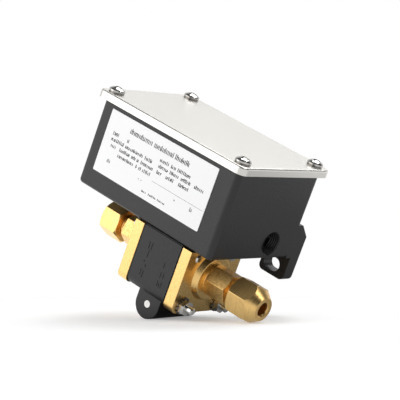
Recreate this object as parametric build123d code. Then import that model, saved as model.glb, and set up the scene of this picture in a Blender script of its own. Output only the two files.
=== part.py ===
from math import atan, cos, degrees, pi, radians, sin, sqrt, tan
import os

from build123d import *

# Differential pressure switch for a wall. A moulded case with a sheet steel lid holds the switching
# mechanism. Under it hangs the pressure sensor: a moulded body between two brass flanges, each with
# a screwed adapter and a flare nut for a small tube.
# Millimetres. +X runs along the case towards the cable entry, +Y points into the wall and +Z up.
# The origin lies in the wall plane, midway between the two wall slots.

# Case
case_length = 93.4
case_depth = 65.2
case_height = 47.4
case_wall = 2.6
case_floor = 2.6
case_corner_radius = 3.0
case_edge_radius = 2.0
rim_lip_width = 2.1
rim_lip_height = 2.0
wall_gap = 8.0

# Wall lugs, one at each end of the back
slot_length = 10.2
slot_width = 7.0
slot_drop = 7.3
slot_inset = 9.5
lug_width = 16.5
lug_thickness = 7.2
lug_drop = 13.0
lug_rise = 18.0
lug_chamfer = 6.4
lug_corner_radius = 2.8
lug_lap = 3.3

# Lid, gasket and lid screws
lid_thickness = 0.8
lid_rim_height = 4.0
lid_bend_radius = 1.1
lid_corner_radius = 4.2
skirt_clearance = 0.2
gasket_thickness = 1.2
gasket_width = 2.6
gasket_inset = 0.8
lid_screw_inset = 6.5
lid_boss_radius = 3.9
lid_screw_length = 12.0

# Front label
label_length = 73.6
label_height = 32.6
label_thickness = 0.3
label_end_gap = 7.7
label_top_gap = 4.9

# Cable entry in the right end wall
entry_radius = 6.3
entry_height = 8.4
entry_back_gap = 20.4
entry_boss_radius = 9.4
entry_boss_length = 5.0

# Sensor body, clamped between the flanges
sensor_end_gap = 30.1
body_width = 25.2
body_height = 31.5
body_corner_radius = 5.0
seal_thickness = 0.5
lever_slot_length = 7.4
lever_slot_width = 9.4
neck_wall = 2.0
neck_setback = 0.4
lug_radius = 7.5
lug_length = 31.5
lug_front_gap = 5.8
pivot_drop = 5.9
chamber_radius = 11.5
chamber_depth = 2.6

# Flanges
flange_thickness = 5.9
flange_depth = 40.4
flange_height = 32.6
left_flange_lift = 0.8
flange_corner_radius = 4.0
dish_depth = 1.8
boss_base_radius = 12.6
boss_top_radius = 11.2
boss_height = 3.0
port_drop = 13.2
port_bore_radius = 2.5
port_thread_radius = 5.0

# Bolts that clamp the flanges: heads at the left, nuts at the right end of the lower pair only
tie_pitch_y = 26.8
tie_pitch_z = 24.7
tie_centre_drop = 16.0
tie_tip_height = 0.7
tooth_depth = 1.3
tooth_gap = 0.8
tooth_count = 12
tie_end_length = 3.6
tie_head_height = 2.8
tie_head_turn = 30.0
tie_nut_turn = 10.0

# Diaphragms and push rods
diaphragm_thickness = 0.8
diaphragm_inset = 0.5
bead_radius = 0.9
pad_radius = 9.0
pad_thickness = 1.5
rod_radius = 2.5

# Port adapters and flare nuts
adapter_hex = 14.6
adapter_hex_length = 12.3
adapter_thread_radius = 5.5
adapter_thread_length = 8.0
adapter_plug_length = 5.6
adapter_hex_bevel = 0.5
adapter_hex_bevel_depth = 1.0
port_thread_length = 6.2
adapter_neck_length = 1.6
adapter_neck_radius = 4.7
adapter_bore_radius = 2.2
flare_length = 2.4
port_washer_radius = 8.2
port_washer_thickness = 1.0
nut_hex = 17.5
nut_hex_length = 10.8
nut_stand_off = 2.8
nut_nose_length = 6.0
nut_nose_radius = 6.0
nut_thread_depth = 7.3
nut_short_end = 0.9
tube_bore_radius = 3.4
tube_mouth_chamfer = 0.6
right_nut_turn = 164.7
left_nut_turn = 145.7
right_adapter_turn = 174.9
left_adapter_turn = 137.4

# Mechanism
sheet_thickness = 1.5
pad_rise = 3.0
plate_left_gap = 12.7
plate_right_gap = 7.7
plate_screw_inset = 7.0
plate_screw_front_inset = 5.0
plate_screw_back_inset = 4.0
plate_front_gap = 2.6
mechanism_offset = 8.0
flange_over_axis = 7.0
scale_post_height = 5.4
scale_post_inset = 2.0
scale_post_length = 34.0
end_flange_reach = 8.0
seat_margin_x = 5.0
seat_margin_y = 6.0
tongue_length = 4.2
tongue_margin = 3.4
lever_thickness = 3.2
lever_width = 8.0
lever_over_axis = 6.0
lever_tip_radius = 2.0
eye_radius = 3.1
pivot_pin_radius = 1.8
range_axis_drop = 13.3
range_screw_radius = 2.5
range_screw_reach = 6.0
range_head_radius = 4.2
range_head_length = 3.1
range_head_slot = 1.4
range_clip_radius = 4.2
range_groove_radius = 2.0
range_clip_thickness = 1.0
range_groove_width = 1.1
range_nut_length = 6.0
range_nut_size = 12.0
range_nut_start = 20.0
spring_outer_radius = 5.2
spring_wire_radius = 0.75
spring_turns = 7.5
spring_cup_radius = 3.5
spring_cup_length = 4.0
pointer_width = 1.2
pointer_height = 4.2
pointer_depth = 1.2
scale_thickness = 0.4
scale_margin = 0.4
scale_pitch = 1.2
scale_marks = 13
scale_mark_width = 0.3
scale_long_mark = 2.2
scale_short_mark = 1.4
switch_depth = 16.0
switch_thickness = 10.3
switch_gap = 2.8
switch_rise = 2.2
switch_hole_pitch = 22.2
switch_hole_inset = 3.6
switch_end_margin = 2.9
plate_pad_radius = 3.6
plunger_radius = 1.5
plunger_height = 16.0
plunger_length = 6.8
terminal_pitch = 9.6
terminal_length = 5.6
terminal_width = 6.0
terminal_hole_inset = 2.6
terminal_thickness = 0.8
earth_reach = 22.0
earth_rise = 8.2
body_screw_length = 14.5
plate_screw_length = 6.0
terminal_screw_length = 3.6
body_screw_depth = 8.0

# Clearances
running_clearance = 0.05
thread_clearance = 0.04
touch_clearance = 0.03
hole_clearance = 0.15

# Screws: shank radius, head radius, head height
m4 = (2.0, 4.1, 2.2)
m3 = (1.5, 2.8, 2.1)
nut_m4_across_flats = 7.0
nut_m4_height = 3.2
nut_m3_across_flats = 5.5
nut_m3_height = 2.4
washer_m4_radius = 4.5
washer_m4_thickness = 0.8
lock_washer_radius = 3.9
lock_washer_thickness = 0.9

# Places worked out from the sizes
case_bottom = slot_drop
case_rim = case_bottom + case_height
case_back = -wall_gap
case_front = case_back - case_depth
case_middle = (case_back + case_front) / 2
case_end = case_length / 2
floor_top = case_bottom + case_floor
lid_overhang = rim_lip_width + skirt_clearance + lid_thickness
lid_length = case_length + 2 * lid_overhang
lid_depth = case_depth + 2 * lid_overhang
lid_top = case_rim + gasket_thickness + lid_thickness
lid_screw_x = lid_length / 2 - lid_screw_inset
lid_screw_y = lid_depth / 2 - lid_screw_inset
lid_screw_places = [
    (sx * lid_screw_x, case_middle + sy * lid_screw_y) for sx in (-1, 1) for sy in (-1, 1)
]
slot_x = case_end - slot_inset
entry_y = case_back - entry_back_gap
entry_z = case_bottom + entry_height
sensor_centre = case_end - sensor_end_gap
sensor_front = case_front
sensor_back = sensor_front + flange_depth
sensor_middle = sensor_front + flange_depth / 2
body_top = case_bottom - seal_thickness
body_bottom = body_top - body_height
flange_bottom = body_top - flange_height
port_z = body_top - port_drop
pivot_z = body_bottom - pivot_drop
lug_front = sensor_front + lug_front_gap
lug_back = lug_front + lug_length
side_reach = body_width / 2 + diaphragm_thickness
boss_reach = side_reach + flange_thickness + boss_height
adapter_reach = boss_reach + port_washer_thickness + adapter_hex_length
nut_reach = adapter_reach + nut_stand_off
tie_places = [
    (sensor_middle + sy * tie_pitch_y / 2, body_top - tie_centre_drop + sz * tie_pitch_z / 2)
    for sy in (-1, 1)
    for sz in (-1, 1)
]
plate_bottom = floor_top + pad_rise
plate_top = plate_bottom + sheet_thickness
plate_left = plate_left_gap - case_end
plate_right = case_end - plate_right_gap
plate_back = sensor_middle + mechanism_offset
range_axis_height = case_rim - range_axis_drop
flange_top = range_axis_height + flange_over_axis
scale_post_top = flange_top + scale_post_height
lever_top = range_axis_height + lever_over_axis
range_nut_right = plate_left + range_nut_start
range_screw_end = range_nut_right + range_screw_reach
switch_bottom = plate_top + switch_rise
switch_length = switch_hole_pitch + 2 * switch_end_margin
earth_x = plate_left + earth_reach
earth_z = plate_top + earth_rise
neck_height = plate_top - neck_setback - body_top
plate_front = case_front + case_wall + plate_front_gap
back_face = plate_back - sheet_thickness
neck_x = lever_slot_length / 2 + neck_wall
neck_y = lever_slot_width / 2 + neck_wall
body_screw_x = neck_x + 1.0
body_screw_y = neck_y + 2.4
lever_left = sensor_centre - lever_thickness / 2
lever_right = sensor_centre + lever_thickness / 2
switch_left = lever_right + switch_gap
switch_front = back_face - switch_thickness
switch_middle = back_face - switch_thickness / 2
plunger_z = switch_bottom + plunger_height


def block(x, y, z):
    """A box between two limits on each axis."""
    size = (x[1] - x[0], y[1] - y[0], z[1] - z[0])
    return Pos(x[0], y[0], z[0]) * Box(*size, align=(Align.MIN, Align.MIN, Align.MIN))


def rod(radius, start, end):
    """A round bar between two points."""
    length = (Vector(*end) - Vector(*start)).length
    plane = Plane(origin=start, z_dir=Vector(*end) - Vector(*start))
    return plane * Cylinder(radius, length, align=(Align.CENTER, Align.CENTER, Align.MIN))


def hex_bar(across_flats, x, y, z, turn):
    """A hexagonal bar along X between two limits, turned about its axis."""
    face = RegularPolygon(across_flats / 2, 6, major_radius=False, rotation=turn)
    return extrude(Plane(origin=(x[0], y, z), x_dir=(0, 1, 0), z_dir=(1, 0, 0)) * face, x[1] - x[0])


def turned(outline, y, z):
    """A body turned about an axis along X, from points of distance along X and radius."""
    plane = Plane(origin=(0, y, z), x_dir=(1, 0, 0), z_dir=(0, 0, 1))
    face = make_face(plane * Polyline(*outline, close=True))
    return revolve(face, Axis((0, y, z), (1, 0, 0)))


def rounded_slab(length, depth, radius, z):
    """A slab with rounded upright edges, centred on the case, between two heights."""
    face = Pos(0, case_middle, z[0]) * RectangleRounded(length, depth, radius)
    return extrude(face, z[1] - z[0])


def other_side(piece):
    """The same piece on the left of the sensor."""
    return mirror(piece, about=Plane.YZ.offset(sensor_centre))


def pan_screw(size, length, seat, outward, slotted=False):
    """A pan head screw with its head seated on a point and its shank along the way in."""
    shank_radius, head_radius, head_height = size
    head = Cylinder(head_radius, head_height, align=(Align.CENTER, Align.CENTER, Align.MIN))
    rise = head_height * 0.7
    crown = (head_radius ** 2 + rise ** 2) / (2 * rise)
    head = head & Pos(0, 0, head_height - crown) * Sphere(crown)
    depth = head_height * 0.62
    slot = Pos(0, 0, head_height - depth / 2) * Box(head_radius * 1.2, head_radius * 0.27, depth)
    if slotted:
        slot = Pos(0, 0, head_height - depth / 2) * Box(head_radius * 2.2, head_radius * 0.26, depth)
        head -= slot
    else:
        head -= slot
        head -= Rot(0, 0, 90) * slot
    shank = Cylinder(shank_radius, length, align=(Align.CENTER, Align.CENTER, Align.MAX))
    shank = chamfer(shank.edges().sort_by(Axis.Z)[0], shank_radius * 0.3)
    return Plane(origin=seat, z_dir=outward) * (head + shank)


def hex_nut(across_flats, height, bore, seat, outward, turn=0.0):
    """A hexagonal nut with both faces chamfered, standing on its seat."""
    corner = across_flats / sqrt(3)
    bevel = corner - across_flats / 2
    nut = extrude(RegularPolygon(across_flats / 2, 6, major_radius=False, rotation=turn), height)
    envelope = Cylinder(corner, height, align=(Align.CENTER, Align.CENTER, Align.MIN))
    envelope = chamfer(envelope.edges().filter_by(GeomType.CIRCLE), bevel * 0.5, bevel)
    nut &= envelope
    if bore:
        nut -= Cylinder(bore, height, align=(Align.CENTER, Align.CENTER, Align.MIN))
    return Plane(origin=seat, z_dir=outward) * nut


def ring(outer, inner, thickness, seat, outward):
    """A flat washer lying on its seat."""
    washer = Cylinder(outer, thickness, align=(Align.CENTER, Align.CENTER, Align.MIN))
    washer -= Cylinder(inner, thickness, align=(Align.CENTER, Align.CENTER, Align.MIN))
    return Plane(origin=seat, z_dir=outward) * washer


def fuse(pieces):
    """Joins several bodies, or keeps apart those that don't touch, as one group."""
    group = pieces[0]
    for piece in pieces[1:]:
        group += piece
    return group


def wall_lug(side):
    """One lug behind the case, with its slot for the wall screw, before the case is joined."""
    outer = side * case_end
    inner = side * (case_end - lug_width)
    x = (min(outer, inner), max(outer, inner))
    lug = block(x, (-lug_thickness, 0), (case_bottom - lug_drop, case_bottom + lug_rise))
    lug += block(x, (case_back - lug_lap, 0), (case_bottom, case_bottom + lug_rise))
    top_edge = lug.edges().filter_by(Axis.X).sort_by(Axis.Z)[-2:].sort_by(Axis.Y)[-1]
    lug = chamfer(top_edge, lug_chamfer)
    foot = lug.edges().filter_by(Axis.Y).group_by(Axis.Z)[0]
    lug = fillet(foot, lug_corner_radius)
    straight = slot_length - slot_width
    slot = SlotCenterToCenter(straight, slot_width)
    plane = Plane(origin=(side * slot_x, 0, 0), x_dir=(1, 0, 0), z_dir=(0, -1, 0))
    hole = extrude(plane * slot, lug_thickness * 2, both=True)
    return lug, hole


def sensor_opening(clearance, z):
    """The opening for the sensor's neck."""
    x = neck_x + clearance
    y = neck_y + clearance
    return block(
        (sensor_centre - x, sensor_centre + x), (sensor_middle - y, sensor_middle + y), z
    )


def body_screw_places():
    return [
        (sensor_centre + sx * body_screw_x, sensor_middle + sy * body_screw_y)
        for sx in (-1, 1)
        for sy in (-1, 1)
    ]


def plate_screw_places():
    rows = (plate_front + plate_screw_front_inset, back_face - plate_screw_back_inset)
    return [(plate_left + plate_screw_inset, y) for y in rows]


def switch_case():
    """The moulded case, open at the top, with its lugs, screw bosses and cable entry."""
    shell = rounded_slab(case_length, case_depth, case_corner_radius, (case_bottom, case_rim))
    shell = fillet(shell.faces().sort_by(Axis.Z)[0].edges(), case_edge_radius)
    lip_length = case_length + 2 * rim_lip_width
    lip_depth = case_depth + 2 * rim_lip_width
    lip_corner = case_corner_radius + rim_lip_width
    shell += rounded_slab(lip_length, lip_depth, lip_corner, (case_rim - rim_lip_height, case_rim))
    inside_length = case_length - 2 * case_wall
    inside_depth = case_depth - 2 * case_wall
    cavity = rounded_slab(inside_length, inside_depth, 1.0, (floor_top, case_rim))
    shell -= cavity
    for x, y in lid_screw_places:
        shell += rod(lid_boss_radius, (x, y, floor_top), (x, y, case_rim)) & cavity
    entry = (case_end - case_wall, entry_y, entry_z)
    boss = rod(entry_boss_radius, entry, (entry[0] - entry_boss_length, entry_y, entry_z))
    shell += boss & cavity
    seat_x = (sensor_centre - neck_x - seat_margin_x, sensor_centre + neck_x + seat_margin_x)
    seat_y = (sensor_middle - neck_y - seat_margin_y, sensor_middle + neck_y + seat_margin_y)
    shell += block(seat_x, seat_y, (floor_top, plate_bottom))
    for x, y in plate_screw_places():
        shell += rod(plate_pad_radius, (x, y, floor_top), (x, y, plate_bottom))
    for side in (-1, 1):
        lug, hole = wall_lug(side)
        shell += lug
        shell -= hole
    for x, y in lid_screw_places:
        bottom = case_rim - lid_screw_length
        shell -= rod(m4[0] + thread_clearance, (x, y, bottom), (x, y, case_rim))
    shell -= rod(entry_radius, (entry[0] - entry_boss_length, entry_y, entry_z), (case_end, entry_y, entry_z))
    shell -= sensor_opening(hole_clearance, (case_bottom, plate_bottom))
    for x, y in body_screw_places():
        shell -= rod(m3[0] + hole_clearance, (x, y, case_bottom), (x, y, plate_bottom))
    for x, y in plate_screw_places():
        shell -= rod(m3[0] + thread_clearance, (x, y, case_bottom + 0.9), (x, y, plate_bottom))
    return shell


def lid():
    """The drawn sheet lid, with a skirt that drops over the lip of the case."""
    bottom = lid_top - lid_rim_height
    skin = rounded_slab(lid_length, lid_depth, lid_corner_radius, (bottom, lid_top))
    skin = fillet(skin.faces().sort_by(Axis.Z)[-1].edges(), lid_bend_radius)
    inner_length = lid_length - 2 * lid_thickness
    inner_depth = lid_depth - 2 * lid_thickness
    inner_corner = lid_corner_radius - lid_thickness
    hollow = rounded_slab(inner_length, inner_depth, inner_corner, (bottom, lid_top - lid_thickness))
    hollow = fillet(hollow.faces().sort_by(Axis.Z)[-1].edges(), lid_bend_radius - lid_thickness)
    skin -= hollow
    for x, y in lid_screw_places:
        skin -= rod(m4[0] + hole_clearance, (x, y, bottom), (x, y, lid_top))
    return skin


def lid_gasket():
    """The rubber frame on the rim, with an ear round each lid screw."""
    z = (case_rim, case_rim + gasket_thickness)
    length = case_length + 2 * (rim_lip_width - gasket_inset)
    depth = case_depth + 2 * (rim_lip_width - gasket_inset)
    corner = case_corner_radius + rim_lip_width - gasket_inset
    frame = rounded_slab(length, depth, corner, z)
    frame -= rounded_slab(length - 2 * gasket_width, depth - 2 * gasket_width, 2.0, z)
    for x, y in lid_screw_places:
        frame += rod(lid_boss_radius, (x, y, z[0]), (x, y, z[1]))
        frame -= rod(m4[0] + hole_clearance, (x, y, z[0]), (x, y, z[1]))
    return frame


def lock_washer(x, y):
    """A split spring washer on the lid."""
    washer = ring(lock_washer_radius, m4[0] + running_clearance, lock_washer_thickness, (x, y, lid_top), (0, 0, 1))
    gap = Pos(x, y, lid_top + lock_washer_thickness / 2) * Rot(20, 0, 35)
    return washer - gap * Pos(lock_washer_radius, 0, 0) * Box(lock_washer_radius, 0.7, 3 * lock_washer_thickness)


def lid_screw(x, y):
    seat = (x, y, lid_top + lock_washer_thickness)
    return pan_screw(m4, lid_screw_length + lock_washer_thickness, seat, (0, 0, 1))


def front_label():
    """The plate on the front of the case."""
    left = -case_end + label_end_gap
    top = case_rim - label_top_gap
    plane = Plane(
        origin=(left + label_length / 2, case_front, top - label_height / 2),
        x_dir=(1, 0, 0),
        z_dir=(0, -1, 0),
    )
    return extrude(plane * RectangleRounded(label_length, label_height, 0.6), label_thickness)


def sensor_body():
    """The moulded middle of the sensor: two diaphragm chambers, the lever slot and the pivot lug."""
    left = sensor_centre - body_width / 2
    right = sensor_centre + body_width / 2
    body = block((left, right), (sensor_front, sensor_back), (body_bottom, body_top))
    foot = body.edges().filter_by(Axis.X).group_by(Axis.Z)[0]
    body = fillet(foot, body_corner_radius)
    lug = rod(lug_radius, (sensor_centre, lug_front, pivot_z), (sensor_centre, lug_back, pivot_z))
    lug += block(
        (sensor_centre - lug_radius, sensor_centre + lug_radius),
        (lug_front, lug_back),
        (pivot_z, body_bottom + body_corner_radius),
    )
    body += lug
    body += sensor_opening(0, (body_top, body_top + neck_height))
    slot_x = (sensor_centre - lever_slot_length / 2, sensor_centre + lever_slot_length / 2)
    slot_y = (sensor_middle - lever_slot_width / 2, sensor_middle + lever_slot_width / 2)
    body -= block(slot_x, slot_y, (pivot_z - eye_radius - 0.8, body_top + neck_height))
    for outer, inner in ((left, left + chamber_depth), (right - chamber_depth, right)):
        body -= rod(chamber_radius, (outer, sensor_middle, port_z), (inner, sensor_middle, port_z))
    body -= rod(rod_radius + running_clearance, (left, sensor_middle, port_z), (right, sensor_middle, port_z))
    body -= rod(
        pivot_pin_radius + 0.01, (sensor_centre, lug_front, pivot_z), (sensor_centre, lug_back, pivot_z)
    )
    for y, z in tie_places:
        body -= rod(m4[0] + hole_clearance, (left, y, z), (right, y, z))
    for x, y in body_screw_places():
        body -= rod(m3[0] + thread_clearance, (x, y, body_top - body_screw_depth), (x, y, body_top))
    return body


def body_seal():
    """The flat seal between the sensor body and the floor of the case."""
    seal = block(
        (sensor_centre - body_width / 2, sensor_centre + body_width / 2),
        (sensor_front + 0.6, sensor_back - 0.6),
        (body_top, case_bottom),
    )
    seal -= sensor_opening(0, (body_top, case_bottom))
    for x, y in body_screw_places():
        seal -= rod(m3[0] + hole_clearance, (x, y, body_top), (x, y, case_bottom))
    return seal


def flange(foot):
    """A flange at the right: plate with round foot corners, dish, drafted boss and tapped port."""
    inner = sensor_centre + side_reach
    outer = inner + flange_thickness
    plate = block((inner, outer), (sensor_front, sensor_back), (foot, body_top))
    corners = plate.edges().filter_by(Axis.X).group_by(Axis.Z)[0]
    plate = fillet(corners, flange_corner_radius)
    face = outer + boss_height
    boss = turned(
        [(outer, 0), (outer, boss_base_radius), (face, boss_top_radius), (face, 0)], sensor_middle, port_z
    )
    plate += fillet(boss.edges().filter_by(GeomType.CIRCLE).sort_by(Axis.X)[-1], 0.6)
    plate -= turned(
        [(inner, 0), (inner, chamber_radius), (inner + dish_depth, pad_radius - 2.0), (inner + dish_depth, 0)],
        sensor_middle,
        port_z,
    )
    plate -= rod(port_bore_radius, (inner, sensor_middle, port_z), (face, sensor_middle, port_z))
    plate -= rod(
        port_thread_radius + thread_clearance, (face - port_thread_length, sensor_middle, port_z), (face, sensor_middle, port_z)
    )
    for y, z in tie_places:
        plate -= rod(m4[0] + running_clearance, (inner, y, z), (outer, y, z))
    return plate


def diaphragm():
    """The right diaphragm: a rubber sheet with a rolled bead round the pad."""
    inner = sensor_centre + body_width / 2
    outer = inner + diaphragm_thickness
    sheet = block(
        (inner, outer),
        (sensor_front + diaphragm_inset, sensor_back - diaphragm_inset),
        (flange_bottom + 1.5, body_top - diaphragm_inset),
    )
    foot = sheet.edges().filter_by(Axis.X).group_by(Axis.Z)[0]
    sheet = fillet(foot, flange_corner_radius)
    roll = (pad_radius + chamber_radius) / 2
    plane = Plane(origin=(0, sensor_middle, port_z), x_dir=(1, 0, 0), z_dir=(0, 0, 1))
    spin = Axis((0, sensor_middle, port_z), (1, 0, 0))
    sheet += revolve(plane * Pos(inner + 0.1, roll) * Circle(bead_radius), spin) & block(
        (inner, outer + 1.0), (sensor_front, sensor_back), (flange_bottom, body_top)
    )
    sheet -= revolve(plane * Pos(inner - 0.1, roll) * Circle(bead_radius - 0.35), spin)
    for y, z in tie_places:
        sheet -= rod(m4[0] + hole_clearance, (inner, y, z), (outer, y, z))
    return sheet


def push_rod():
    """The right push rod: a pad against the diaphragm and a stem that bears on the lever."""
    face = sensor_centre + body_width / 2 - touch_clearance
    tip = lever_right + touch_clearance
    pad = rod(pad_radius, (face - pad_thickness, sensor_middle, port_z), (face, sensor_middle, port_z))
    pad = fillet(pad.edges().filter_by(GeomType.CIRCLE), 0.5)
    stem = rod(rod_radius, (tip, sensor_middle, port_z), (face - pad_thickness / 2, sensor_middle, port_z))
    stem = fillet(stem.edges().filter_by(GeomType.CIRCLE).sort_by(Axis.X)[0], 1.3)
    return pad + stem


def port_adapter(turn):
    """The right adapter: tapped-port thread, hexagon, outer thread and flare cone, bored through."""
    face = sensor_centre + boss_reach
    washer_face = face + port_washer_thickness
    shoulder = washer_face + adapter_hex_length
    thread = shoulder + adapter_neck_length
    cone = thread + adapter_thread_length
    tip = cone + flare_length
    corner = adapter_hex / sqrt(3)
    bevel = adapter_hex_bevel
    small = corner - adapter_hex_bevel_depth
    plug = face - adapter_plug_length
    body = hex_bar(adapter_hex, (washer_face, shoulder), sensor_middle, port_z, turn)
    body &= turned(
        [
            (washer_face, 0),
            (washer_face, small),
            (washer_face + bevel, corner),
            (shoulder - bevel, corner),
            (shoulder, small),
            (shoulder, 0),
        ],
        sensor_middle,
        port_z,
    )
    body += turned(
        [
            (plug, 0),
            (plug, port_thread_radius - 0.8),
            (plug + 0.8, port_thread_radius),
            (washer_face, port_thread_radius),
            (washer_face, 0),
        ],
        sensor_middle,
        port_z,
    )
    body += turned(
        [
            (shoulder, 0),
            (shoulder, adapter_neck_radius),
            (thread, adapter_neck_radius),
            (thread + 0.8, adapter_thread_radius),
            (cone - 0.5, adapter_thread_radius),
            (cone, adapter_thread_radius - 0.6),
            (tip, adapter_bore_radius + 0.3),
            (tip, 0),
        ],
        sensor_middle,
        port_z,
    )
    return body - rod(adapter_bore_radius, (plug, sensor_middle, port_z), (tip, sensor_middle, port_z))


def flare_nut(turn, nosed):
    """A flare nut on the right: hexagon, thread, seat cone and a bore for the tube."""
    start = sensor_centre + nut_reach
    corner = nut_hex / sqrt(3)
    shoulder = start + nut_hex_length
    if nosed:
        end = shoulder + nut_nose_length
        end_radius = nut_nose_radius
    else:
        end = shoulder + nut_short_end
        end_radius = corner - 1.5
    body = hex_bar(nut_hex, (start, end), sensor_middle, port_z, turn)
    body &= turned(
        [(start, 0), (start, corner - 1.3), (start + 0.9, corner), (shoulder, corner), (end, end_radius), (end, 0)],
        sensor_middle,
        port_z,
    )
    thread_end = start + nut_thread_depth
    bore = adapter_thread_radius + thread_clearance
    seat_end = thread_end + bore - tube_bore_radius
    body -= turned(
        [
            (start, 0),
            (start, bore + 0.5),
            (start + 0.5, bore),
            (thread_end, bore),
            (seat_end, tube_bore_radius),
            (end - tube_mouth_chamfer, tube_bore_radius),
            (end, tube_bore_radius + tube_mouth_chamfer),
            (end, 0),
        ],
        sensor_middle,
        port_z,
    )
    return body


def port_washer():
    face = sensor_centre + boss_reach
    return ring(
        port_washer_radius, port_thread_radius + running_clearance, port_washer_thickness,
        (face, sensor_middle, port_z), (1, 0, 0),
    )


def tie_bolt(y, z, end):
    """A hexagon head bolt from the left flange to the right."""
    seat = sensor_centre - side_reach - flange_thickness
    head = hex_nut(nut_m4_across_flats, tie_head_height, 0, (seat, y, z), (-1, 0, 0), tie_head_turn)
    shank = rod(m4[0], (seat - 1.0, y, z), (end, y, z))
    shank = chamfer(shank.edges().filter_by(GeomType.CIRCLE).sort_by(Axis.X)[-1], 0.6)
    return head + shank


def tie_bolts():
    flange_face = sensor_centre + side_reach + flange_thickness
    nut_face = flange_face + washer_m4_thickness + nut_m4_height
    middle = body_top - tie_centre_drop
    return fuse(
        [
            tie_bolt(y, z, flange_face + tie_tip_height if z > middle else nut_face + tie_end_length)
            for y, z in tie_places
        ]
    )


def lower_tie_places():
    middle = body_top - tie_centre_drop
    return [(y, z) for y, z in tie_places if z < middle]


def tie_washers():
    """The toothed lock washers under the two nuts."""
    face = sensor_centre + side_reach + flange_thickness
    washer = ring(washer_m4_radius, m4[0] + hole_clearance, washer_m4_thickness, (0, 0, 0), (0, 0, 1))
    notch = Pos(washer_m4_radius, 0, washer_m4_thickness / 2) * Box(tooth_depth * 2, tooth_gap, washer_m4_thickness * 2)
    for step in range(tooth_count):
        washer -= Rot(0, 0, 360 / tooth_count * step) * notch
    return fuse([Plane(origin=(face, y, z), z_dir=(1, 0, 0)) * washer for y, z in lower_tie_places()])


def tie_nuts():
    face = sensor_centre + side_reach + flange_thickness + washer_m4_thickness
    return fuse(
        [
            hex_nut(nut_m4_across_flats, nut_m4_height, m4[0] + thread_clearance, (face, y, z), (1, 0, 0), tie_nut_turn)
            for y, z in lower_tie_places()
        ]
    )


def main_lever():
    """The lever: an eye on the pivot pin, a flat bar through the sensor and a cup for the spring."""
    x = (lever_left, lever_right)
    y = (sensor_middle - lever_width / 2, sensor_middle + lever_width / 2)
    bar = block(x, y, (pivot_z, lever_top))
    bar = fillet(bar.edges().filter_by(Axis.X).group_by(Axis.Z)[-1], lever_tip_radius)
    bar += rod(eye_radius, (sensor_centre, y[0], pivot_z), (sensor_centre, y[1], pivot_z))
    cup = rod(
        spring_cup_radius,
        (lever_left - spring_cup_length, sensor_middle, range_axis_height),
        (lever_left, sensor_middle, range_axis_height),
    )
    bar += chamfer(cup.edges().filter_by(GeomType.CIRCLE).sort_by(Axis.X)[0], 0.8)
    bore = pivot_pin_radius + running_clearance
    return bar - rod(bore, (sensor_centre, y[0], pivot_z), (sensor_centre, y[1], pivot_z))


def pivot_pin():
    return rod(pivot_pin_radius, (sensor_centre, lug_front, pivot_z), (sensor_centre, lug_back, pivot_z))


def mechanism_plate():
    """The folded steel plate: base, tall back flange with a raised scale post, and an end flange."""
    x = (plate_left, plate_right)
    plate = block(x, (plate_front, plate_back), (plate_bottom, plate_top))
    plate += block(x, (back_face, plate_back), (plate_bottom, flange_top))
    post = plate_left + scale_post_inset
    plate += block((post, post + scale_post_length), (back_face, plate_back), (flange_top, scale_post_top))
    end_y = (sensor_middle - end_flange_reach, plate_back)
    plate += block((plate_left, plate_left + sheet_thickness), end_y, (plate_bottom, lever_top))
    tongue = (sensor_centre - body_screw_x - tongue_margin, sensor_centre + body_screw_x + tongue_margin)
    plate -= block(tongue, (back_face, plate_back), (plate_top, plate_top + tongue_length))
    plate += block(tongue, (back_face, plate_back + tongue_length), (plate_bottom, plate_top))
    plate -= sensor_opening(hole_clearance, (plate_bottom, plate_top))
    for px, py in body_screw_places() + plate_screw_places():
        plate -= rod(m3[0] + hole_clearance, (px, py, plate_bottom), (px, py, plate_top))
    plate -= rod(
        range_screw_radius + running_clearance,
        (plate_left, sensor_middle, range_axis_height),
        (plate_left + sheet_thickness, sensor_middle, range_axis_height),
    )
    for px, pz in switch_screw_places():
        plate -= rod(m3[0] + hole_clearance, (px, back_face, pz), (px, plate_back, pz))
    plate -= rod(
        m4[0] + hole_clearance, (earth_x, back_face, earth_z), (earth_x, plate_back, earth_z)
    )
    return plate


def switch_screw_places():
    middle = switch_bottom + switch_length / 2
    x = switch_left + switch_depth - switch_hole_inset
    return [(x, middle - switch_hole_pitch / 2), (x, middle + switch_hole_pitch / 2)]


def terminal_heights():
    middle = switch_bottom + switch_length / 2
    return [middle + step * terminal_pitch for step in (-1, 0, 1)]


def terminal_tab(z):
    x = (switch_left + switch_depth - 1.5, switch_left + switch_depth + terminal_length)
    y = (switch_middle - terminal_thickness / 2, switch_middle + terminal_thickness / 2)
    return block(x, y, (z - terminal_width / 2, z + terminal_width / 2))


def terminal_screw_x():
    return switch_left + switch_depth + terminal_length - terminal_hole_inset


def microswitch_body():
    """The snap switch: moulded block with two fixing holes, plunger bore and terminal slots."""
    right = switch_left + switch_depth
    body = block((switch_left, right), (switch_front, back_face), (switch_bottom, switch_bottom + switch_length))
    body = fillet(body.edges().filter_by(Axis.Y), 0.8)
    for x, z in switch_screw_places():
        body -= rod(m3[0] + hole_clearance, (x, switch_front, z), (x, back_face, z))
    depth = plunger_length - switch_gap + 1.6
    body -= rod(
        plunger_radius + running_clearance,
        (switch_left, switch_middle, plunger_z),
        (switch_left + depth, switch_middle, plunger_z),
    )
    for z in terminal_heights():
        body -= terminal_tab(z)
    return body


def microswitch_plunger():
    tip = lever_right + touch_clearance
    pin = rod(plunger_radius, (tip, switch_middle, plunger_z), (tip + plunger_length, switch_middle, plunger_z))
    return fillet(pin.edges().filter_by(GeomType.CIRCLE).sort_by(Axis.X)[0], 1.1)


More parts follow.
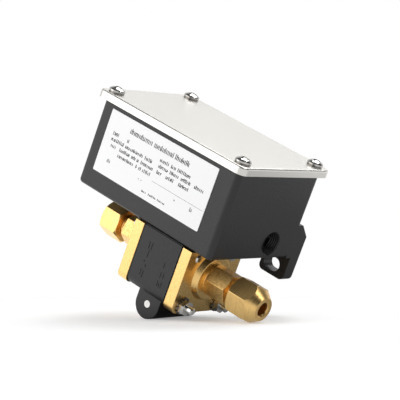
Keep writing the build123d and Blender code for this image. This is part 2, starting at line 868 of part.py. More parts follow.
def microswitch_terminals():
    x = terminal_screw_x()
    y = (switch_middle - terminal_thickness, switch_middle + terminal_thickness)
    return fuse(
        [
            terminal_tab(z) - rod(m3[0] + thread_clearance, (x, y[0], z), (x, y[1], z))
            for z in terminal_heights()
        ]
    )


def terminal_screws():
    seat = switch_middle - terminal_thickness / 2
    return fuse(
        [pan_screw(m3, terminal_screw_length, (terminal_screw_x(), seat, z), (0, -1, 0)) for z in terminal_heights()]
    )


def switch_screws():
    length = switch_thickness + sheet_thickness + nut_m3_height + 0.8
    return fuse(
        [pan_screw(m3, length, (x, switch_front, z), (0, -1, 0)) for x, z in switch_screw_places()]
    )


def switch_nuts():
    return fuse(
        [
            hex_nut(nut_m3_across_flats, nut_m3_height, m3[0] + thread_clearance, (x, plate_back, z), (0, 1, 0))
            for x, z in switch_screw_places()
        ]
    )


def range_screw():
    """The adjusting screw, headed at the left, with a groove for its clip."""
    under = plate_left - 2 * running_clearance
    top = under - range_head_length
    axis = (sensor_middle, range_axis_height)
    head = rod(range_head_radius, (top, *axis), (under, *axis))
    head = chamfer(head.edges().filter_by(GeomType.CIRCLE).sort_by(Axis.X)[0], 0.5)
    head -= block(
        (top, top + range_head_slot),
        (sensor_middle - range_head_radius, sensor_middle + range_head_radius),
        (range_axis_height - 0.6, range_axis_height + 0.6),
    )
    shank = rod(range_screw_radius, (under - range_head_length / 2, *axis), (range_screw_end, *axis))
    shank = chamfer(shank.edges().filter_by(GeomType.CIRCLE).sort_by(Axis.X)[-1], 0.6)
    groove = plate_left + sheet_thickness + 2 * running_clearance
    shank -= ring(range_clip_radius, range_groove_radius, range_groove_width, (groove, *axis), (1, 0, 0))
    return head + shank


def range_screw_clip():
    """The open clip that keeps the adjusting screw in the end flange."""
    seat = plate_left + sheet_thickness + 3 * running_clearance
    inner = range_groove_radius + running_clearance
    clip = ring(range_clip_radius, inner, range_clip_thickness, (seat, sensor_middle, range_axis_height), (1, 0, 0))
    return clip - block(
        (seat, seat + range_clip_thickness),
        (sensor_middle - inner * 0.8, sensor_middle + inner * 0.8),
        (range_axis_height, range_axis_height + range_clip_radius + 1.0),
    )


def range_nut():
    """The square nut that loads the spring, kept from turning by the back flange, with its pointer."""
    x = (range_nut_right - range_nut_length, range_nut_right)
    y = (sensor_middle - range_nut_size / 2, back_face - running_clearance)
    top = range_axis_height + range_nut_size / 2
    nut = block(x, y, (range_axis_height - range_nut_size / 2, top))
    nut = chamfer(nut.edges().filter_by(Axis.X).sort_by(Axis.Y)[:2], 1.5)
    middle = (x[0] + x[1]) / 2
    pointer_back = back_face - scale_thickness - 2 * running_clearance
    nut += block(
        (middle - pointer_width / 2, middle + pointer_width / 2),
        (pointer_back - pointer_depth, pointer_back),
        (top - 1.0, top + pointer_height),
    )
    bore = range_screw_radius + thread_clearance
    return nut - rod(bore, (x[0], sensor_middle, range_axis_height), (x[1], sensor_middle, range_axis_height))


def range_spring():
    """The compression spring between the nut and the lever."""
    coil = spring_outer_radius - spring_wire_radius
    start = range_nut_right + spring_wire_radius
    length = lever_left - spring_wire_radius - start
    path = Helix(length / spring_turns, length, coil)
    section = Plane(origin=path @ 0, z_dir=path % 0) * Circle(spring_wire_radius)
    wire = sweep(section, path=path, is_frenet=True)
    return Pos(start, sensor_middle, range_axis_height) * Rot(0, 90, 0) * wire


def scale_plate():
    """The small scale behind the pointer, with a row of cut marks."""
    left = plate_left + scale_post_inset + scale_margin
    right = plate_left + scale_post_inset + scale_post_length - scale_margin
    z = (flange_top + scale_margin, scale_post_top - scale_margin)
    plate = block((left, right), (back_face - scale_thickness, back_face), z)
    middle = range_nut_right - range_nut_length / 2
    cut = (back_face - scale_thickness, back_face - scale_thickness / 2)
    for step in range(scale_marks):
        mark = middle + (step - (scale_marks - 1) / 2) * scale_pitch
        tall = scale_long_mark if step % 3 == 0 else scale_short_mark
        x = (mark - scale_mark_width / 2, mark + scale_mark_width / 2)
        plate -= block(x, cut, (z[1] - scale_margin - tall, z[1] - scale_margin))
    return plate


def body_screws():
    return fuse([pan_screw(m3, body_screw_length, (x, y, plate_top), (0, 0, 1)) for x, y in body_screw_places()])


def plate_screws():
    return fuse([pan_screw(m3, plate_screw_length, (x, y, plate_top), (0, 0, 1)) for x, y in plate_screw_places()])


def earth_screw():
    seat = (earth_x, back_face - washer_m4_thickness, earth_z)
    return pan_screw(m4, washer_m4_thickness + sheet_thickness + nut_m4_height + 1.0, seat, (0, -1, 0))


def earth_washer():
    return ring(
        washer_m4_radius, m4[0] + hole_clearance, washer_m4_thickness, (earth_x, back_face, earth_z), (0, -1, 0)
    )


def earth_nut():
    return hex_nut(
        nut_m4_across_flats, nut_m4_height, m4[0] + thread_clearance, (earth_x, plate_back, earth_z), (0, 1, 0)
    )


nodes = {
    "switch_case": switch_case(),
    "lid": lid(),
    "lid_gasket": lid_gasket(),
    "lid_screws": fuse([lid_screw(x, y) for x, y in lid_screw_places]),
    "lid_lock_washers": fuse([lock_washer(x, y) for x, y in lid_screw_places]),
    "front_label": front_label(),
    "sensor_body": sensor_body(),
    "body_seal": body_seal(),
    "body_screws": body_screws(),
    "right_flange": flange(flange_bottom),
    "left_flange": other_side(flange(flange_bottom + left_flange_lift)),
    "right_diaphragm": diaphragm(),
    "left_diaphragm": other_side(diaphragm()),
    "right_push_rod": push_rod(),
    "left_push_rod": other_side(push_rod()),
    "right_adapter": port_adapter(right_adapter_turn),
    "left_adapter": other_side(port_adapter(left_adapter_turn)),
    "right_port_washer": port_washer(),
    "left_port_washer": other_side(port_washer()),
    "right_flare_nut": flare_nut(right_nut_turn, True),
    "left_flare_nut": other_side(flare_nut(left_nut_turn, False)),
    "tie_bolts": tie_bolts(),
    "tie_washers": tie_washers(),
    "tie_nuts": tie_nuts(),
    "main_lever": main_lever(),
    "pivot_pin": pivot_pin(),
    "mechanism_plate": mechanism_plate(),
    "plate_screws": plate_screws(),
    "microswitch_body": microswitch_body(),
    "microswitch_plunger": microswitch_plunger(),
    "microswitch_terminals": microswitch_terminals(),
    "terminal_screws": terminal_screws(),
    "switch_screws": switch_screws(),
    "switch_nuts": switch_nuts(),
    "range_screw": range_screw(),
    "range_screw_clip": range_screw_clip(),
    "range_nut": range_nut(),
    "range_spring": range_spring(),
    "scale_plate": scale_plate(),
    "earth_screw": earth_screw(),
    "earth_washer": earth_washer(),
    "earth_nut": earth_nut(),
}

os.makedirs("parts", exist_ok=True)
for name, shape in nodes.items():
    export_step(shape, f"parts/{name}.step")
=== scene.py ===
import bpy
import bmesh
import math
import random
from mathutils import Matrix, Vector


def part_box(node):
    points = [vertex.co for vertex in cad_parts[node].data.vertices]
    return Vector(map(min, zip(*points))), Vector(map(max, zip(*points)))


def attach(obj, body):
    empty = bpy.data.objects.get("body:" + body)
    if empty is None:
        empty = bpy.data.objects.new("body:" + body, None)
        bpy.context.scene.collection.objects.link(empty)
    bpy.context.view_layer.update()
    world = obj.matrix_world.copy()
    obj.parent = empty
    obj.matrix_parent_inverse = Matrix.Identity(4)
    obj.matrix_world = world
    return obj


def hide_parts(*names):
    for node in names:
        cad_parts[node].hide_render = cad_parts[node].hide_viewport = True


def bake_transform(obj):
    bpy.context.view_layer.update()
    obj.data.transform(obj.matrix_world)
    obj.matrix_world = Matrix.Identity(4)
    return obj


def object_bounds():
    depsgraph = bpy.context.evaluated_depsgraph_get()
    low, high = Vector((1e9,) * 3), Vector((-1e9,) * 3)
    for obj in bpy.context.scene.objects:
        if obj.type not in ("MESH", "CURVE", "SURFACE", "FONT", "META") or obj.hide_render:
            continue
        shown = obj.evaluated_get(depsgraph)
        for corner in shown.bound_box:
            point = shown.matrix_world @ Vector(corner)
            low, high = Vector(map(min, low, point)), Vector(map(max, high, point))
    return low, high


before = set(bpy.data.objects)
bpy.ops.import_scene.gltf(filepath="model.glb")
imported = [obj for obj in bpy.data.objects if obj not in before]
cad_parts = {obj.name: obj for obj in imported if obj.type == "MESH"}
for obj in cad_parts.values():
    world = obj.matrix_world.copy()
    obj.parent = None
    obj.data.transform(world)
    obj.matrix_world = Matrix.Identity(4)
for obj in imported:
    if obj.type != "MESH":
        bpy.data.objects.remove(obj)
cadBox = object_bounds()
mm = 0.001
print("frame loaded")


# a socket that can stand in a Python expression
class Signal:
    def __init__(self, finish, socket):
        self.finish = finish
        self.socket = socket

    def math(self, operation, first, second):
        return self.finish.node("ShaderNodeMath", {"operation": operation}, {0: first, 1: second})

    def __add__(self, other):
        return self.math("ADD", self, other)

    def __radd__(self, other):
        return self.math("ADD", other, self)

    def __sub__(self, other):
        return self.math("SUBTRACT", self, other)

    def __rsub__(self, other):
        return self.math("SUBTRACT", other, self)

    def __mul__(self, other):
        return self.math("MULTIPLY", self, other)

    def __rmul__(self, other):
        return self.math("MULTIPLY", other, self)

    def __pow__(self, other):
        return self.math("POWER", self, other)

    def __rpow__(self, other):
        return self.math("POWER", other, self)

    def orBrighter(self, other):
        return self.math("MAXIMUM", self, other)


# the nodes of one material, or of the room
class Finish:
    def __init__(self, tree):
        self.tree = tree
        tree.nodes.clear()

    def node(self, kind, settings=None, inputs=None, output=0):
        made = self.tree.nodes.new(kind)
        for name, value in (settings or {}).items():
            if name == "ramp":
                self.setRamp(made.color_ramp, value)
            else:
                setattr(made, name, value)
        for key, value in (inputs or {}).items():
            socket = made.inputs[key]
            if isinstance(value, Signal):
                self.tree.links.new(value.socket, socket)
            elif isinstance(value, tuple) and len(value) == 3 and len(socket.default_value) == 4:
                socket.default_value = (*value, 1)
            else:
                socket.default_value = value
        return Signal(self, made.outputs[output]) if made.outputs else made

    def setRamp(self, ramp, stops):
        while len(ramp.elements) < len(stops):
            ramp.elements.new(0.5)
        for element, (place, tone) in zip(ramp.elements, stops):
            element.position = place
            element.color = (tone, tone, tone, 1)

    def objectPlace(self):
        return self.node("ShaderNodeTexCoord", output="Object")

    def stretched(self, scale):
        return self.node("ShaderNodeMapping", {}, {"Vector": self.objectPlace(), "Scale": scale})

    def noise(self, scale, detail=3.0, roughness=0.5, vector=None):
        where = vector or self.objectPlace()
        inputs = {"Vector": where, "Scale": scale, "Detail": detail, "Roughness": roughness}
        return self.node("ShaderNodeTexNoise", {}, inputs)

    def uneven(self, factor, value, spread):
        below, above = spread
        inputs = {"Value": factor, "To Min": value - below, "To Max": value + above}
        return self.node("ShaderNodeMapRange", {}, inputs)

    def rise(self, value, low, high, top=1.0, kind="SMOOTHSTEP"):
        inputs = {"Value": value, "From Min": low, "From Max": high, "To Max": top}
        return self.node("ShaderNodeMapRange", {"interpolation_type": kind}, inputs)

    def blend(self, factor, first, second):
        # sockets 6 and 7 are the Mix node's colours, and output 2 is its colour
        return self.node("ShaderNodeMix", {"data_type": "RGBA"}, {0: factor, 6: first, 7: second}, output=2)

    def reach(self, place, way):
        inputs = {0: place, 1: tuple(way)}
        return self.node("ShaderNodeVectorMath", {"operation": "DOT_PRODUCT"}, inputs, output="Value")

    def glow(self, colour, strength):
        return self.node("ShaderNodeEmission", {}, {"Color": colour, "Strength": strength})

    def mixShaders(self, factor, first, second):
        return self.node("ShaderNodeMixShader", {}, {0: factor, 1: first, 2: second})

    def bump(self, height, distance, strength, edge=None):
        inputs = {"Height": height, "Distance": distance, "Strength": strength}
        if edge:
            inputs["Normal"] = self.node("ShaderNodeBevel", {"samples": 6}, {"Radius": edge})
        return self.node("ShaderNodeBump", {}, inputs)

    def surface(self, **sockets):
        inputs = {key.replace("_", " "): value for key, value in sockets.items()}
        shader = self.node("ShaderNodeBsdfPrincipled", {}, inputs)
        self.node("ShaderNodeOutputMaterial", {}, {"Surface": shader})


def newFinish(name):
    material = bpy.data.materials.new(name)
    material.use_nodes = True
    return material, Finish(material.node_tree)


# black moulding: a fine grain with a little dust; the painted shade values make a darker copy of it for the
# sensor body, painted shade where that body stands lower
moulding = {
    "colour": (0.013, 0.013, 0.0135), "dust": (0.024, 0.024, 0.0245), "rough": 0.36,
    "paintedShadeColour": (0.009, 0.009, 0.009), "paintedShadeDust": (0.017, 0.017, 0.017), "shadeRough": 0.44,
    "gloss": 0.45, "spread": (0.05, 0.07), "cloudScale": 90.0, "grainScale": 1150.0, "grainHeight": 0.00016,
}


def makeMoulding(name, colour, dust, rough):
    material, finish = newFinish(name)
    grain = finish.noise(moulding["grainScale"], detail=2.0, roughness=0.6)
    cloud = finish.noise(moulding["cloudScale"], detail=4.0, roughness=0.55)
    finish.surface(
        Base_Color=finish.blend(grain * 0.6 + cloud * 0.4, colour, dust),
        Roughness=finish.uneven(cloud, rough, moulding["spread"]),
        Specular_IOR_Level=moulding["gloss"],
        Normal=finish.bump(grain, moulding["grainHeight"], strength=0.55),
    )
    return material


# the lid's sheet steel: lines run along X, and a faint smear over them
brushedLid = {
    "colour": (0.78, 0.765, 0.725), "shade": 0.94, "rough": 0.30, "spread": (0.06, 0.10),
    "lines": (40.0, 2600.0, 900.0), "lineHeight": 0.000015, "smearScale": 35.0,
}


def makeLidSteel(name):
    material, finish = newFinish(name)
    lines = finish.noise(1.0, roughness=0.6, vector=finish.stretched(brushedLid["lines"]))
    smear = finish.noise(brushedLid["smearScale"])
    deep = tuple(channel * brushedLid["shade"] for channel in brushedLid["colour"])
    finish.surface(
        Base_Color=finish.blend(lines, deep, brushedLid["colour"]),
        Metallic=1.0,
        Roughness=finish.uneven(lines * 0.7 + smear * 0.3, brushedLid["rough"], brushedLid["spread"]),
        Normal=finish.bump(lines, brushedLid["lineHeight"], strength=0.35),
    )
    return material


plating = {"cloudScale": 700.0, "fineScale": 5200.0, "fineHeight": 0.00001, "spread": (0.05, 0.09)}


def makePlated(name, colour, rough, mottle=0.10):
    material, finish = newFinish(name)
    cloud = finish.noise(plating["cloudScale"])
    fine = finish.noise(plating["fineScale"], detail=2.0)
    dull = tuple(channel * (1 - mottle) for channel in colour)
    finish.surface(
        Base_Color=finish.blend(cloud, dull, colour),
        Metallic=1.0,
        Roughness=finish.uneven(cloud, rough, plating["spread"]),
        Normal=finish.bump(fine, plating["fineHeight"], strength=0.3),
    )
    return material


# brass: rounded edges that catch the light, darker patches, and tool marks on the turned pieces
brassLook = {
    "bright": (0.95, 0.635, 0.245), "deep": (0.56, 0.31, 0.085), "spread": (0.05, 0.12), "edge": 0.0004,
    "cloudScale": 900.0, "fineScale": 2600.0, "patches": (0.36, 0.58), "height": 0.00004,
    "toolMarks": (2300.0, 90.0, 90.0),
}


def makeBrass(name, turned, rough, mottling, depth=1.0):
    material, finish = newFinish(name)
    deep = tuple(Vector(brassLook["bright"]).lerp(Vector(brassLook["deep"]), mottling))
    cloud = finish.noise(brassLook["cloudScale"], detail=4.0, roughness=0.6)
    fine = finish.noise(brassLook["fineScale"], roughness=0.65)
    mottle = cloud * 0.6 + fine * 0.4
    if turned:  # the marks run round the port axis, so they vary along X only
        marks = finish.noise(1.0, roughness=0.7, vector=finish.stretched(brassLook["toolMarks"]))
        mottle = mottle * 0.4 + marks * 0.6
    patches = finish.rise(mottle, *brassLook["patches"])
    finish.surface(
        Base_Color=finish.blend(patches, deep, brassLook["bright"]),
        Metallic=1.0,
        Roughness=finish.uneven(fine, rough, brassLook["spread"]),
        Normal=finish.bump(mottle, brassLook["height"] * depth, strength=0.6, edge=brassLook["edge"]),
    )
    return material


plain = {"cloudScale": 300.0, "fineScale": 2400.0, "fineHeight": 0.00001, "spread": (0.04, 0.05)}


def makePlain(name, colour, rough, variation=0.08):
    material, finish = newFinish(name)
    cloud = finish.noise(plain["cloudScale"])
    fine = finish.noise(plain["fineScale"], detail=2.0)
    shade = tuple(channel * (1 - variation) for channel in colour)
    finish.surface(
        Base_Color=finish.blend(cloud, shade, colour),
        Roughness=finish.uneven(cloud, rough, plain["spread"]),
        Normal=finish.bump(fine, plain["fineHeight"], strength=0.3),
    )
    return material


# every finish, with its maker and what that takes: for plated steel the colour, roughness and mottle,
# for brass turned or not, roughness, mottling and depth, for plain ones colour, roughness and variation
finishRows = {
    "blackMoulding": (makeMoulding, moulding["colour"], moulding["dust"], moulding["rough"]),
    # a darker copy of the black moulding: painted shade on the sensor body
    "bodyMoulding": (makeMoulding, moulding["paintedShadeColour"], moulding["paintedShadeDust"], moulding["shadeRough"]),
    "lidSteel": (makeLidSteel,),
    "zincSteel": (makePlated, (0.74, 0.73, 0.70), 0.15),
    "screwSteel": (makePlated, (0.62, 0.61, 0.585), 0.11),
    "darkSteel": (makePlated, (0.36, 0.34, 0.32), 0.24, 0.3),
    "aluminium": (makePlated, (0.80, 0.80, 0.80), 0.32),
    "brass": (makeBrass, False, 0.25, 0.28),
    "milledBrass": (makeBrass, False, 0.32, 0.75, 4.0),
    "turnedBrass": (makeBrass, True, 0.27, 0.40),
    "rubber": (makePlain, (0.022, 0.022, 0.023), 0.62),
    "labelFilm": (makePlain, (0.97, 0.97, 0.975), 0.34, 0.01),
    "darkInk": (makePlain, (0.035, 0.035, 0.038), 0.5, 0.2),
    "paleInk": (makePlain, (0.17, 0.17, 0.175), 0.5, 0.1),
    "whiteMoulding": (makePlain, (0.78, 0.77, 0.72), 0.42, 0.05),
    "brownMoulding": (makePlain, (0.12, 0.05, 0.03), 0.36, 0.25),
}
finishes = {name: make(name, *values) for name, (make, *values) in finishRows.items()}

# the nodes of each finish; the rest are zinc plated steel
finishNodes = {
    "blackMoulding": ["switch_case"],
    # the sensor body gets the darker copy, which is painted shade
    "bodyMoulding": ["sensor_body"],
    "lidSteel": ["lid"],
    "screwSteel": ["lid_screws"],
    "darkSteel": ["tie_washers", "lid_lock_washers"],
    "aluminium": ["scale_plate"],
    "brass": [
        "right_port_washer", "left_port_washer", "right_flange", "left_flange", "microswitch_terminals",
        "range_screw", "range_nut", "earth_screw", "earth_washer", "earth_nut",
    ],
    "milledBrass": ["right_adapter", "left_adapter"],
    "turnedBrass": ["right_flare_nut", "left_flare_nut"],
    "rubber": ["lid_gasket", "body_seal", "right_diaphragm", "left_diaphragm"],
    "labelFilm": ["front_label"],
    "whiteMoulding": ["right_push_rod", "left_push_rod", "microswitch_plunger"],
    "brownMoulding": ["microswitch_body"],
}
finishOf = {node: finish for finish, nodes in finishNodes.items() for node in nodes}
for name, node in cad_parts.items():
    node.data.materials.clear()
    node.data.materials.append(finishes[finishOf.get(name, "zincSteel")])
print("finishes set on", len(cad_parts), "nodes")


def pieceFrom(mesh, name, finish, body):
    data = bpy.data.meshes.new(name)
    bmesh.ops.remove_doubles(mesh, verts=mesh.verts, dist=1e-7)
    bmesh.ops.recalc_face_normals(mesh, faces=mesh.faces)
    mesh.to_mesh(data)
    mesh.free()
    data.materials.append(finishes[finish])
    piece = bpy.data.objects.new(name, data)
    bpy.context.scene.collection.objects.link(piece)
    if body:
        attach(piece, body)
    return piece


# the threads that show, in mm: each starts at a point on its axis and runs along X
threads = {
    "cableEntryThread": {
        "start": (39.4, -28.4, 15.7), "way": 1, "root": 6.32, "crest": 5.85, "pitch": 1.2, "turns": 5.6,
        "finish": "blackMoulding", "slot": "black_moulding",
    },
    "rightAdapterThread": {
        "start": (53.9, -53.0, -6.4), "way": 1, "root": 5.40, "crest": 5.53, "pitch": 0.7, "turns": 1.4,
        "finish": "brass", "slot": "brass",
    },
    "leftAdapterThread": {
        "start": (-20.7, -53.0, -6.4), "way": -1, "root": 5.40, "crest": 5.53, "pitch": 0.7, "turns": 1.4,
        "finish": "brass", "slot": "brass",
    },
}
ridge = {"profile": (0.0, 0.38, 0.62, 1.0), "stepsPerTurn": 40}  # the profile is in shares of the pitch


def threadRidge(name, thread):
    mesh = bmesh.new()
    start = Vector(thread["start"]) * mm
    pitch = thread["way"] * thread["pitch"]
    radii = (thread["root"], thread["crest"], thread["crest"], thread["root"])
    verts = [
        mesh.verts.new(start + Vector((pitch * share, radius, 0)) * mm)
        for share, radius in zip(ridge["profile"], radii)
    ]
    edges = [mesh.edges.new(pair) for pair in zip(verts, verts[1:])]
    bmesh.ops.spin(
        mesh, geom=verts + edges, cent=start, axis=(1, 0, 0), dvec=(pitch * mm / ridge["stepsPerTurn"], 0, 0),
        angle=2 * math.pi * thread["turns"], steps=int(ridge["stepsPerTurn"] * thread["turns"]),
        use_merge=False, use_duplicate=False,
    )
    pieceFrom(mesh, name, thread["finish"], "case")


for name, thread in threads.items():
    threadRidge(name, thread)
print("threads made:", len(threads))


# the range spring's wire: a smooth copy of the range spring, which is hidden
def makeRangeSpring():
    mesh = bmesh.new()
    mesh.from_mesh(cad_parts["range_spring"].data)
    piece = pieceFrom(mesh, "rangeSpringWire", "zincSteel", None)
    for face in piece.data.polygons:
        face.use_smooth = True
    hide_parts("range_spring")
    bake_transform(piece)


makeRangeSpring()
print("range spring made")

# the label's print as rows of plain strokes, in mm from the label's top left corner:
# top, height, then the start and the end of each word
labelRows = {
    "dark": [
        (4.2, 2.7, [(15.3, 31.0), (32.3, 45.5), (46.7, 56.2)]),
        (12.9, 1.8, [
            (5.2, 14.0), (15.3, 28.0), (29.2, 34.4), (38.8, 45.6), (46.6, 53.4), (54.2, 61.0), (63.2, 69.3),
        ]),
        (9.9, 1.8, [(38.6, 45.2), (46.2, 49.6), (50.6, 59.2)]),
        (16.0, 1.8, [
            (12.4, 19.8), (21.0, 23.9), (24.9, 26.7), (27.7, 36.5), (38.8, 42.6), (45.2, 50.4), (53.8, 60.6),
        ]),
        (19.1, 1.8, [(12.4, 24.3), (25.4, 26.6), (27.5, 29.2), (30.2, 36.4)]),
        (28.7, 1.0, [(33.8, 37.6), (38.4, 43.8), (44.8, 49.8)]),
    ],
    "pale": [
        (9.9, 1.9, [(5.2, 9.9), (15.3, 16.9)]),
        (16.0, 1.8, [(6.2, 9.9)]),
        (23.8, 2.0, [(6.9, 9.8), (65.0, 66.8)]),
        (24.5, 0.6, [(29.4, 30.0), (31.2, 31.8), (54.2, 55.2)]),
    ],
}
stroke = {
    "width": 0.48, "thick": 0.03, "heights": (0.72, 0.78, 1.0),  # heights in shares of the row
    "step": 0.92, "gaps": (0.8, 1.0, 1.1),
    "barShare": 0.40, "barPlaces": (0.0, 0.5, 0.72), "barWidth": 0.8,
    "rule": (38.0, 22.2, 34.6, 0.16), "seed": 7,
}
labelLow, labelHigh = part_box("front_label")
chance = random.Random(stroke["seed"])


def flatBar(mesh, left, top, length, height):
    x = labelLow[0] + (left + length / 2) * mm
    z = labelHigh[2] - (top + height / 2) * mm
    size = Matrix.Diagonal((length * mm, stroke["thick"] * mm, height * mm, 1))
    bmesh.ops.create_cube(mesh, size=1, matrix=Matrix.Translation((x, labelLow[1], z)) @ size)


def printWord(mesh, start, end, top, height):
    foot = top + height
    place = start
    while place < end - stroke["width"]:
        tall = height * chance.choice(stroke["heights"])
        flatBar(mesh, place, foot - tall, stroke["width"], tall)
        if place + stroke["step"] < end and chance.random() < stroke["barShare"]:
            rise = height * chance.choice(stroke["barPlaces"])
            barTop = foot - rise - (stroke["width"] if rise == 0 else 0)
            flatBar(mesh, place, barTop, stroke["step"], stroke["width"] * stroke["barWidth"])
        place += stroke["step"] * chance.choice(stroke["gaps"])


for tone, rows in labelRows.items():
    mesh = bmesh.new()
    for top, height, words in rows:
        for start, end in words:
            printWord(mesh, start, end, top, height)
    if tone == "pale":
        flatBar(mesh, *stroke["rule"])
    pieceFrom(mesh, tone + "LabelStrokes", tone + "Ink", "case")
print("label strokes made")

# raised marks on the front of the sensor body, in mm: left and drop of the top left corner, width, height
raisedMarks = [
    (5.7, 6.6, 0.7, 3.4), (7.5, 6.4, 0.7, 3.8), (6.6, 10.8, 0.8, 3.6), (5.8, 16.2, 0.8, 1.0),
    (7.4, 18.0, 0.8, 1.4), (5.8, 21.2, 0.7, 2.8), (7.4, 21.2, 0.7, 3.8), (18.0, 12.0, 1.0, 2.4),
    (18.1, 17.0, 0.7, 2.9), (19.9, 17.0, 0.7, 2.6), (17.8, 21.6, 0.7, 2.6), (19.0, 22.6, 0.7, 1.8),
    (20.2, 21.4, 0.7, 2.8),
]
raised = {"proud": 0.22, "sunk": 0.1, "round": 0.09, "fromCaseFoot": 12.5}  # drops count from this height


def makeRaisedMarks():
    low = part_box("sensor_body")[0]
    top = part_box("switch_case")[0][2] + raised["fromCaseFoot"] * mm
    depth = (raised["proud"] + raised["sunk"]) * mm
    mesh = bmesh.new()
    for left, drop, width, height in raisedMarks:
        x = low[0] + (left + width / 2) * mm
        y = low[1] - raised["proud"] * mm + depth / 2
        z = top - (drop + height / 2) * mm
        size = Matrix.Diagonal((width * mm, depth, height * mm, 1))
        made = bmesh.ops.create_cube(mesh, size=1, matrix=Matrix.Translation((x, y, z)) @ size)
        edges = list(dict.fromkeys(edge for vertex in made["verts"] for edge in vertex.link_edges))
        bmesh.ops.bevel(
            mesh, geom=edges, offset=raised["round"] * mm, affect="EDGES",
            segments=2, profile=0.5, material=-1,
        )
    # the marks take the darker copy, painted shade like the sensor body
    pieceFrom(mesh, "raisedMarks", "bodyMoulding", "case")


makeRaisedMarks()
print("raised marks made:", len(raisedMarks))

# the camera: where it stands, the picture's right and down, the way ahead, and the lens in the
# picture's pixels
view = {
    "place": (0.45299, -0.65060, 0.22588),
    "right": (0.70681823, 0.62774675, 0.32610121),
    "down": (0.41825162, 0.00092376, -0.90833074),
    "ahead": (-0.57050291, 0.77841709, -0.26190317),
    "lens": 1570.2, "picture": 400, "sensor": 36, "clip": (0.05, 20),
}
right, down, ahead = (Vector(view[key]).normalized() for key in ("right", "down", "ahead"))
upright = -down
camera = bpy.data.cameras.new("camera")
camera.sensor_width = view["sensor"]
camera.lens = view["lens"] / view["picture"] * view["sensor"]
camera.clip_start, camera.clip_end = view["clip"]
cameraObject = bpy.data.objects.new("camera", camera)
turn = Matrix((right, upright, -ahead)).transposed().to_4x4()
cameraObject.matrix_world = Matrix.Translation(view["place"]) @ turn
bpy.context.scene.collection.objects.link(cameraObject)
bpy.context.scene.camera = cameraObject
print("camera set")

# the floor shows its shading near the object only and is plain white elsewhere; away from the camera
# it is bright at the left and dark at the right, like the table and the room of the photograph
table = {
    "size": 6.0, "tone": 0.9, "glow": 0.30,
    "far": (0.928, 0.898), "left": (-0.115, -0.045), "right": (0.085, 0.045),  # where the shading fades out
    # the bounce bands are painted light that only the object sees; the dark band next to the object is its
    # painted shadow
    "bounce": [(-0.035, 0.92), (0.010, 0.16), (0.065, 0.16), (0.095, 0.36), (0.146, 0.27), (0.20, 0.66)],
    "bounceSpan": (-0.1, 0.3), "bounceStrength": 1.35,
    # the pale near side is a painted pool of light
    "near": (0.765, 0.715), "nearTone": (0.62, 0.62, 0.62),
    # a painted shadow round the object's foot, in what the object sees
    "foot": (-0.021, 0.781), "footPaintedShadow": (0.018, 0.042), "footPaintedShadowTone": (0.03, 0.03, 0.03),
}
white = (1, 1, 1)
centre = Vector(((cadBox[0][axis] + cadBox[1][axis]) / 2 for axis in range(3)))


# the floor is square to the picture's upright and touches the object's lowest point
def makeFloor():
    heights = (upright.dot(vertex.co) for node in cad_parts.values() for vertex in node.data.vertices)
    spot = centre + upright * (min(heights) - upright.dot(centre))
    across = upright.cross(Vector((0, 1, 0))).normalized()
    lie = Matrix((across, upright.cross(across), upright)).transposed().to_4x4()
    mesh = bmesh.new()
    bmesh.ops.create_grid(mesh, x_segments=1, y_segments=1, size=table["size"])
    bmesh.ops.transform(mesh, matrix=Matrix.Translation(spot) @ lie, verts=mesh.verts)
    data = bpy.data.meshes.new("floor")
    mesh.to_mesh(data)
    mesh.free()
    floor = bpy.data.objects.new("floor", data)
    bpy.context.scene.collection.objects.link(floor)
    return floor


def makeFloorFinish():
    material, finish = newFinish("paleFloor")
    places = {0: finish.objectPlace(), 1: view["place"]}
    fromEye = finish.node("ShaderNodeVectorMath", {"operation": "SUBTRACT"}, places)
    toRight = finish.reach(fromEye, right)
    toAhead = finish.reach(fromEye, ahead)

    # what the camera sees
    nearness = finish.rise(toAhead, *table["far"]) * finish.rise(toRight, *table["left"])
    nearness = nearness * finish.rise(toRight, *table["right"])
    diffuse = finish.node("ShaderNodeBsdfDiffuse", {}, {"Color": (table["tone"],) * 3})
    shaded = finish.node("ShaderNodeAddShader", {}, {0: diffuse, 1: finish.glow(white, table["glow"])})
    seenFloor = finish.mixShaders(nearness, finish.glow(white, 1.0), shaded)

    # what the object sees is painted light and painted shade: bands from left to right, a pale near side and
    # a painted shadow at its own foot
    spanLow, spanHigh = table["bounceSpan"]
    stops = [((place - spanLow) / (spanHigh - spanLow), tone) for place, tone in table["bounce"]]
    across = finish.rise(toRight, spanLow, spanHigh, kind="LINEAR")
    sideTone = finish.node("ShaderNodeValToRGB", {"ramp": stops}, {"Fac": across})
    bounceTone = finish.blend(finish.rise(toAhead, *table["near"]), sideTone, table["nearTone"])
    footRight, footAhead = table["foot"]
    fromFoot = ((toRight - footRight) ** 2 + (toAhead - footAhead) ** 2) ** 0.5
    # painted shadow: the bounce goes dark near the foot
    bounceTone = finish.blend(finish.rise(fromFoot, *table["footPaintedShadow"]), table["footPaintedShadowTone"], bounceTone)
    bounce = finish.glow(bounceTone, table["bounceStrength"])

    # the floor is clear from below
    byCamera = finish.node("ShaderNodeLightPath", output="Is Camera Ray")
    fromBelow = finish.node("ShaderNodeNewGeometry", output="Backfacing")
    clear = finish.node("ShaderNodeBsdfTransparent", {}, {"Color": white})
    surface = finish.mixShaders(fromBelow, finish.mixShaders(byCamera, bounce, seenFloor), clear)
    finish.node("ShaderNodeOutputMaterial", {}, {"Surface": surface})
    return material


floor = makeFloor()
floor.data.materials.append(makeFloorFinish())
print("floor ready")

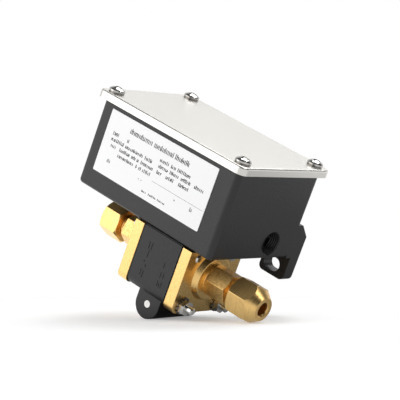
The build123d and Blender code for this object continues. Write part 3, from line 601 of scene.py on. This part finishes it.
# the room: a bright wall at the left and behind the object, dark at the right and round the camera;
# the camera itself sees plain white
room = {
    "left": (0.05, 0.95), "leftTone": 0.75, "back": (0.25, 0.85), "backTone": 0.79,
    "up": (0.5, 0.95), "upTone": 0.08, "dark": 0.04,
}
world = bpy.data.worlds.new("studio")
bpy.context.scene.world = world
world.use_nodes = True
walls = Finish(world.node_tree)


def makeRoom():
    direction = walls.node("ShaderNodeTexCoord", output="Generated")
    leftWall = walls.rise(walls.reach(direction, -right), *room["left"], top=room["leftTone"])
    backWall = walls.rise(walls.reach(direction, ahead), *room["back"], top=room["backTone"])
    ceiling = walls.rise(walls.reach(direction, upright), *room["up"], top=room["upTone"])
    tone = leftWall.orBrighter(backWall).orBrighter(ceiling) + room["dark"]
    shade = walls.blend(tone, (0, 0, 0), white)
    studio = walls.node("ShaderNodeBackground", {}, {"Color": shade, "Strength": 1.0})
    backdrop = walls.node("ShaderNodeBackground", {}, {"Color": white, "Strength": 1.0})
    byCamera = walls.node("ShaderNodeLightPath", output="Is Camera Ray")
    walls.node("ShaderNodeOutputWorld", {}, {"Surface": walls.mixShaders(byCamera, studio, backdrop)})


makeRoom()
print("room ready")

# the nose lamp is small: it gives the light stripe on the right flare nut's cone
lamps = {
    "keyLamp": {"from": -1.05 * right + 0.42 * upright - 0.52 * ahead, "size": 1.6, "power": 9.6},
    "topLamp": {"from": 0.50 * right + 1.10 * upright + 0.42 * ahead, "size": 0.8, "power": 8.4},
    "rightLamp": {"from": 0.9 * right - 0.02 * upright + 0.45 * ahead, "size": 0.5, "power": 0.8},
    "noseLamp": {"from": 0.63 * right + 0.67 * upright - 0.39 * ahead, "size": 0.34, "power": 1.4},
}
for name, lamp in lamps.items():
    light = bpy.data.lights.new(name, "AREA")
    light.size = lamp["size"]
    light.energy = lamp["power"]
    lightObject = bpy.data.objects.new(name, light)
    facing = lamp["from"].to_track_quat("Z", "Y").to_matrix().to_4x4()
    lightObject.matrix_world = Matrix.Translation(centre + lamp["from"]) @ facing
    bpy.context.scene.collection.objects.link(lightObject)
bpy.context.scene.view_settings.view_transform = "Standard"
print("lamps ready")
